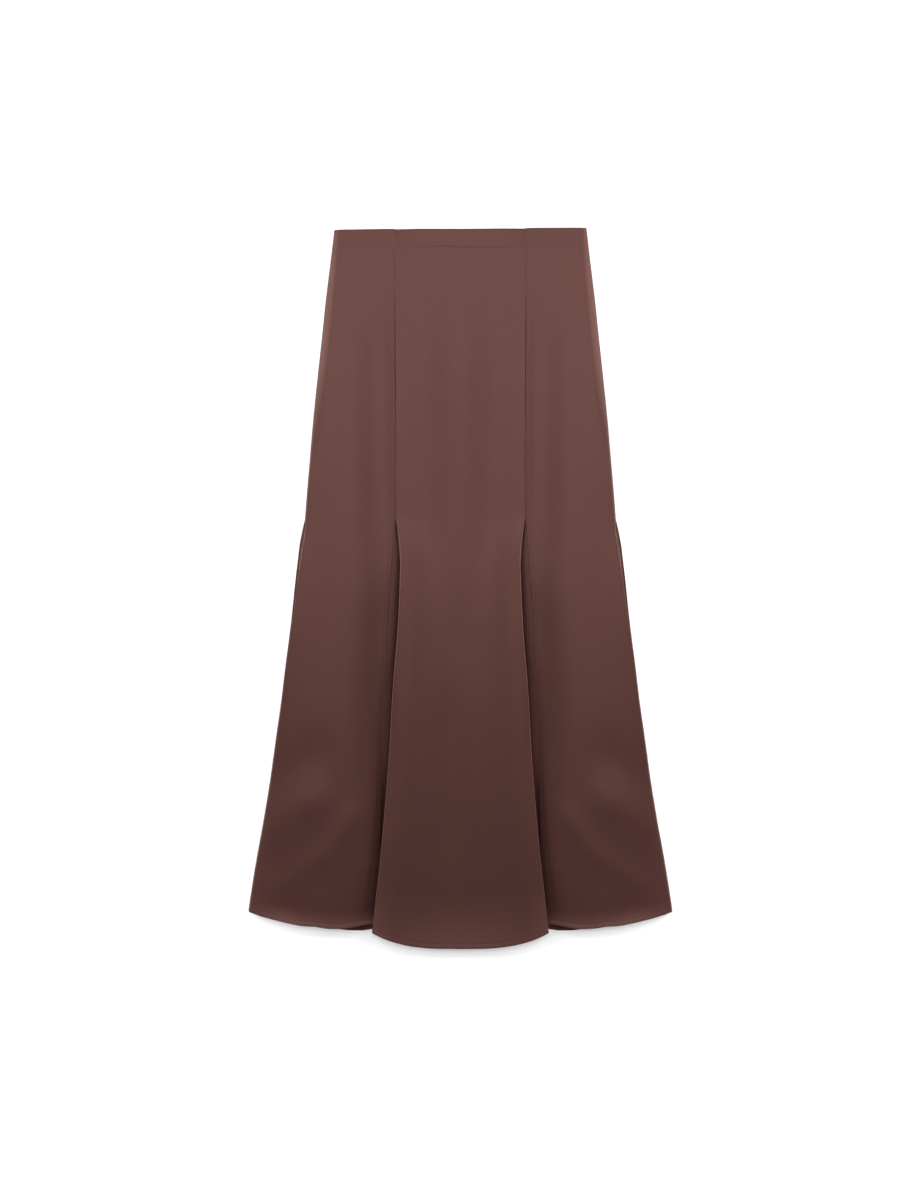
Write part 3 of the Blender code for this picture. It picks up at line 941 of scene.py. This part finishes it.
def folded_godet(name, side, godet, legs, lower_height, upper_height):
    """A godet folded in two, on rows that are arcs about its point.

    `legs(depth)` gives the x of the lower leg's seam, of the upper leg's seam and of the fold.
    """
    radius = godet_rows(godet)
    from_tip = radius[:, None] * np.linspace(godet.lower_radius / godet.upper_radius, 1.0, COLUMN_COUNT)
    x = np.full(from_tip.shape, godet.tip_x)
    for _ in range(FOLD_ROUNDS):
        # on its arc no point lies more than 60 degrees aside of the godet's own
        below_tip = np.sqrt(np.maximum(from_tip**2 - (x - godet.tip_x) ** 2, from_tip**2 / 4))
        depth = godet.tip + below_tip
        lower_x, upper_x, fold_x = legs(depth)
        inward = np.sign(fold_x - lower_x)
        low, high = lower_height(fold_x, depth), upper_height(fold_x, depth)
        bend_radius = np.maximum((high - low) / 2, (CLOTH + FOLD_GAP) / 2)
        bend_x = fold_x - inward * bend_radius
        x = np.zeros_like(bend_x)
        x[LOWER_LEG] = along_leg(lower_x[LOWER_LEG], bend_x[LOWER_LEG])
        x[UPPER_LEG] = along_leg(upper_x[UPPER_LEG][:, ::-1], bend_x[UPPER_LEG][:, ::-1])[:, ::-1]
        x[AT_FOLD] = bend_x[AT_FOLD] + (inward * bend_radius)[AT_FOLD] * np.cos(FOLD_ANGLES)
    height = np.zeros_like(x)
    height[LOWER_LEG] = lower_height(x, depth)[LOWER_LEG]
    height[UPPER_LEG] = upper_height(x, depth)[UPPER_LEG]
    height[AT_FOLD] = ((high + low) / 2)[AT_FOLD] + bend_radius[AT_FOLD] * np.sin(FOLD_ANGLES)
    extra = turned_hem(godet.upper_radius - radius)[:, None] * np.ones(COLUMN_COUNT)
    normals_up = float(inward[0, 0]) * side > 0  # on the lower leg, whose right side faces up
    piece = cloth_piece(
        f"cloth_{name}",
        world_points(side * x, depth, height),
        extra,
        mirrored=not normals_up,
    )
    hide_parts(name)


LEG_GAP = 0.55  # between the middles of two layers that lie against each other
LEG_INSET = 0.45  # from a panel's turned edge to the godet's leg inside it
LEG_REST = 1.0  # height of a godet's lower leg on the back

# A front godet's upper leg hangs below the centre front. Its lower leg shows in the wedge between the
# panels, and falls from the side front's edge to the back: near the point in a dive under the centre
# front's edge, and further down at its own seam.
LEG_SINKS = 0.3  # how much lower the upper leg hangs once the seam is open
LEG_SINKS_OVER = 25.0  # length below the point by which it does
SEAM_LAP = 0.05  # how far the lower leg starts inside the side front's edge
DIVE_SHARE = 0.6  # share of the fall that comes as a dive
DIVE_STEEPNESS = 3
DIVE_BEYOND = 1.0  # how far under the centre front's edge the dive goes
FALLS_EARLY = (460.0, 600.0)  # depths between which the leg comes to fall at its seam instead
EARLY_STEEPNESS = 1.5
LOW_EARLY_STEEPNESS = 3.0
LAST_DIVE = 0.4  # share of that fall which is left for the centre front's edge
LAST_STEEPNESS = 5
NEARS_THE_HEM = (650.0, 770.0)  # depths between which that share goes and the fall at the seam steepens
POINT_HOLDS = 1.6  # how much higher the lower leg comes to rest at the point
POINT_LETS_GO = (FRONT_TIP, FRONT_TIP + 170.0)


def front_leg_fall(share, depth):
    """How much of its height a front godet's lower leg has lost, at a share of the way to the edge."""
    late = blend(share, share**DIVE_STEEPNESS, DIVE_SHARE)
    near_hem = eased(depth, *NEARS_THE_HEM)
    steepness = blend(EARLY_STEEPNESS, LOW_EARLY_STEEPNESS, near_hem)
    at_seam = 1.0 - (1.0 - share) ** steepness
    early = blend(at_seam, share**LAST_STEEPNESS, LAST_DIVE * (1.0 - near_hem))
    return blend(late, early, eased(depth, *FALLS_EARLY))


def make_front_godet(name, side):
    def upper_height(x, depth):
        gap = LEG_GAP + LEG_SINKS * eased(depth, FRONT_TIP, FRONT_TIP + LEG_SINKS_OVER)
        inside = centre_edge(depth) - LEG_INSET - x
        return centre_front_height(side * x, depth) - gap + centre_edge_bend(inside, depth)

    def lower_height(x, depth):
        from_seam = side_inner(depth) - x
        strip = np.maximum(side_inner(depth) - centre_edge(depth), 0.0)
        share = np.clip(from_seam / (strip + DIVE_BEYOND), 0.0, 1.0)
        seam_height = side_front_height(side_inner(depth), depth, side)
        rest = LEG_REST + POINT_HOLDS * (1.0 - eased(depth, *POINT_LETS_GO))
        height = blend(seam_height, rest, front_leg_fall(share, depth))
        height = height + turn_down(from_seam, SEAM_RADIUS, SEAM_DROP)
        edge = centre_front_height(side * np.minimum(x, centre_edge(depth)), depth)
        return np.minimum(height, edge - centre_bend_drop(depth) - 2 * LEG_GAP)

    def legs(depth):
        lower_x = side_inner(depth) - SEAM_LAP
        upper_x = centre_edge(depth) - LEG_INSET
        fold_x = upper_x - leg_length(depth, FRONT_TIP, FRONT_SPREAD, lower_x - upper_x)
        return lower_x, upper_x, fold_x

    tip_x = float(centre_edge(FRONT_TIP))
    godet = Godet(FRONT_TIP, tip_x, start=3.0, lower_radius=502.0, upper_radius=512.0)
    folded_godet(f"godet_front_{name}", side, godet, legs, lower_height, upper_height)


def make_side_godet(name, side):
    def upper_height(x, depth):
        height = side_front_height(x, depth, side)
        inside = front_outer(depth) - LEG_INSET - x
        height = height + side_edge_turn(inside, depth, height) - LEG_GAP
        return np.maximum(height, LEG_REST + LEG_GAP)

    def lower_height(x, depth):
        return np.full(x.shape, LEG_REST)

    def legs(depth):
        lower_x = side_seam(depth)
        upper_x = front_outer(depth) - LEG_INSET
        fold_x = upper_x - leg_length(depth, SIDE_TIP, SIDE_SPREAD, lower_x - upper_x)
        return lower_x, upper_x, fold_x

    tip_x = float(side_seam(SIDE_TIP))
    godet = Godet(SIDE_TIP, tip_x, start=8.0, lower_radius=496.5, upper_radius=496.5)
    folded_godet(f"godet_side_{name}", side, godet, legs, lower_height, upper_height)


BACK_LAP = 2.5  # how far a back godet's upper leg reaches over the centre back
BACK_LEG_START = 3.0  # seam to the start of its lower leg, on the side back
BACK_LEG_LEAST = 3.0  # least width of that leg
BACK_LOWER_REST = 0.9  # heights of its legs
BACK_UPPER_REST = 1.6
BACK_LANDS_OVER = 3.5  # width over which the upper leg lands on the centre back


def make_back_godet(name, side):
    def upper_height(x, depth):
        landed = smooth_step((back_seam(depth) + BACK_LEG_START - x) / BACK_LANDS_OVER)
        return BACK_UPPER_REST - LEG_GAP * landed

    def lower_height(x, depth):
        return np.full(x.shape, BACK_LOWER_REST)

    def legs(depth):
        seam = back_seam(depth)
        leg = np.maximum(BACK_SPREAD * (depth - BACK_TIP) / 2, BACK_LEG_START + BACK_LEG_LEAST)
        return seam + BACK_LEG_START, seam - BACK_LAP, seam + leg

    tip_x = float(back_seam(BACK_TIP))
    godet = Godet(BACK_TIP, tip_x, start=20.0, lower_radius=511.4, upper_radius=511.4)
    folded_godet(f"godet_back_{name}", side, godet, legs, lower_height, upper_height)


# ---------------------------------------------------------------- stage, light and camera

# From here on, places and sizes are in metres
PHOTO_HEIGHT_PIXELS = 1178
SKIRT_HEIGHT_PIXELS = 719.9
FRAME_HEIGHT = LENGTH * METRES * PHOTO_HEIGHT_PIXELS / SKIRT_HEIGHT_PIXELS
CAMERA_OFFSET = (-0.0005, -0.0013)  # the camera isn't quite above the skirt's middle
LENS = 85.0  # a long lens, as little of the sides shows; in millimetres, like the sensor
SENSOR = 36.0  # along the picture's longer side
FLOOR_HALF = 6.0
AMBIENT = 0.15  # strength of the white surroundings

# A softbox hangs at (x, y, height) and points at (target_x, target_y) on the floor; power is in watts
Softbox = namedtuple("Softbox", "x y height target_x target_y size power")
CEILING_SOFTBOX = Softbox(0.0, 0.83, 3.7, 0.0, 0.83, size=(1.5, 1.6), power=49.0)
SIDE_SOFTBOX = Softbox(1.0, -0.1, 0.3, 0.0, -0.1, size=(2.4, 0.4), power=22.4)
EDGE_SOFTBOX = Softbox(0.8, 0.6, 0.9, 0.15, 0.35, size=(0.3, 0.4), power=5.4)


def make_floor():
    mesh = bpy.data.meshes.new("floor")
    corners = [(x * FLOOR_HALF, y * FLOOR_HALF, 0.0) for x, y in ((-1, -1), (1, -1), (1, 1), (-1, 1))]
    mesh.from_pydata(corners, [], [(0, 1, 2, 3)])
    mesh.materials.append(floor_material())
    floor = bpy.data.objects.new("floor", mesh)
    bpy.context.scene.collection.objects.link(floor)


def hang_softbox(name, box, side=1.0):
    light = bpy.data.lights.new(name, "AREA")
    light.shape = "RECTANGLE"
    light.size, light.size_y = box.size
    light.energy = box.power
    place = Vector((side * box.x, box.y, box.height))
    target = Vector((side * box.target_x, box.target_y, 0.0))
    lamp = bpy.data.objects.new(name, light)
    lamp.location = place
    lamp.rotation_euler = (target - place).to_track_quat("-Z", "Y").to_euler()
    bpy.context.scene.collection.objects.link(lamp)


def light_the_stage():
    hang_softbox("ceiling_softbox", CEILING_SOFTBOX)
    for side in (-1.0, 1.0):
        hang_softbox(f"side_softbox_{side:+.0f}", SIDE_SOFTBOX, side)
        hang_softbox(f"edge_softbox_{side:+.0f}", EDGE_SOFTBOX, side)
    world = bpy.data.worlds.new("studio")
    world.use_nodes = True
    background = world.node_tree.nodes["Background"]
    background.inputs["Color"].default_value = (1.0, 1.0, 1.0, 1.0)
    background.inputs["Strength"].default_value = AMBIENT
    bpy.context.scene.world = world


def make_camera():
    camera = bpy.data.cameras.new("camera")
    camera.lens = LENS
    camera.sensor_width = SENSOR
    holder = bpy.data.objects.new("camera", camera)
    holder.location = (*CAMERA_OFFSET, FRAME_HEIGHT * LENS / SENSOR)
    bpy.context.scene.collection.objects.link(holder)
    bpy.context.scene.camera = holder
    bpy.context.scene.view_settings.view_transform = "Standard"


make_camera()
light_the_stage()
make_floor()
make_centre_front()
make_centre_back()
for side_name, side_sign in (("left", -1.0), ("right", 1.0)):
    make_side_front(side_name, side_sign)
    make_front_godet(side_name, side_sign)
    make_side_godet(side_name, side_sign)
    make_back_godet(side_name, side_sign)
    make_side_back(side_name, side_sign)
